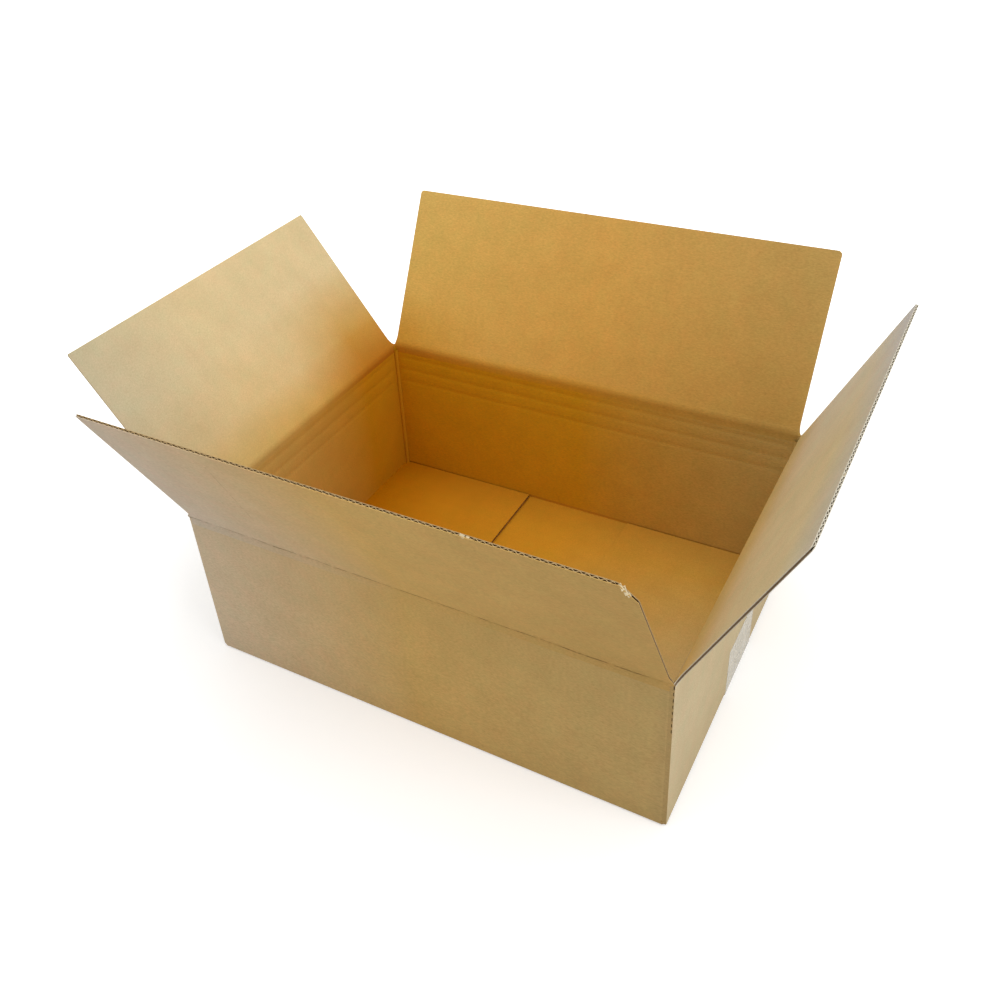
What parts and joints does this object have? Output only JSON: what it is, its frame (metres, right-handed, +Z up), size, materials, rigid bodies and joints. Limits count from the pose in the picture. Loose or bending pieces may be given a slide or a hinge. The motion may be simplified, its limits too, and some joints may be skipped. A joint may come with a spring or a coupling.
{
  "type": "slotted mailer carton",
  "caption": "Rectangular slotted carton of kraft corrugated board with hinged top flaps standing open and a taped bottom, for packing and mailing small goods.",
  "frame": {"origin": "centre of the carton's length and width, on the plane that the taped underside rests on", "axes": "+X along the length, +Y from the front wall to the back wall, +Z up out of the opening"},
  "size_m": [0.4126, 0.3265, 0.2103],
  "materials": {
    "carton_board": "matte kraft liner",
    "flap_board": "matte kraft liner",
    "packing_tape": "clear film, glossy"
  },
  "bodies": {
    "carton": {"carton_body": "carton_board", "bottom_tape": "packing_tape"},
    "front": {"front_flap": "flap_board"},
    "back": {"back_flap": "flap_board"},
    "left": {"left_flap": "flap_board"},
    "right": {"right_flap": "flap_board"}
  },
  "joints": [
    {"name": "front_fold", "type": "hinge", "parent": "carton", "child": "front", "pos_m": [0, -0.1115, 0.11], "axis": [1, 0, 0], "range_deg": [-116.5, 133.5]},
    {"name": "back_fold", "type": "hinge", "parent": "carton", "child": "back", "pos_m": [0, 0.1115, 0.11], "axis": [-1, 0, 0], "range_deg": [-119, 131]},
    {"name": "left_fold", "type": "hinge", "parent": "carton", "child": "left", "pos_m": [-0.15, 0, 0.1079], "axis": [0, -1, 0], "range_deg": [-125, 125]},
    {"name": "right_fold", "type": "hinge", "parent": "carton", "child": "right", "pos_m": [0.15, 0, 0.1079], "axis": [0, 1, 0], "range_deg": [-116, 134]}
  ]
}
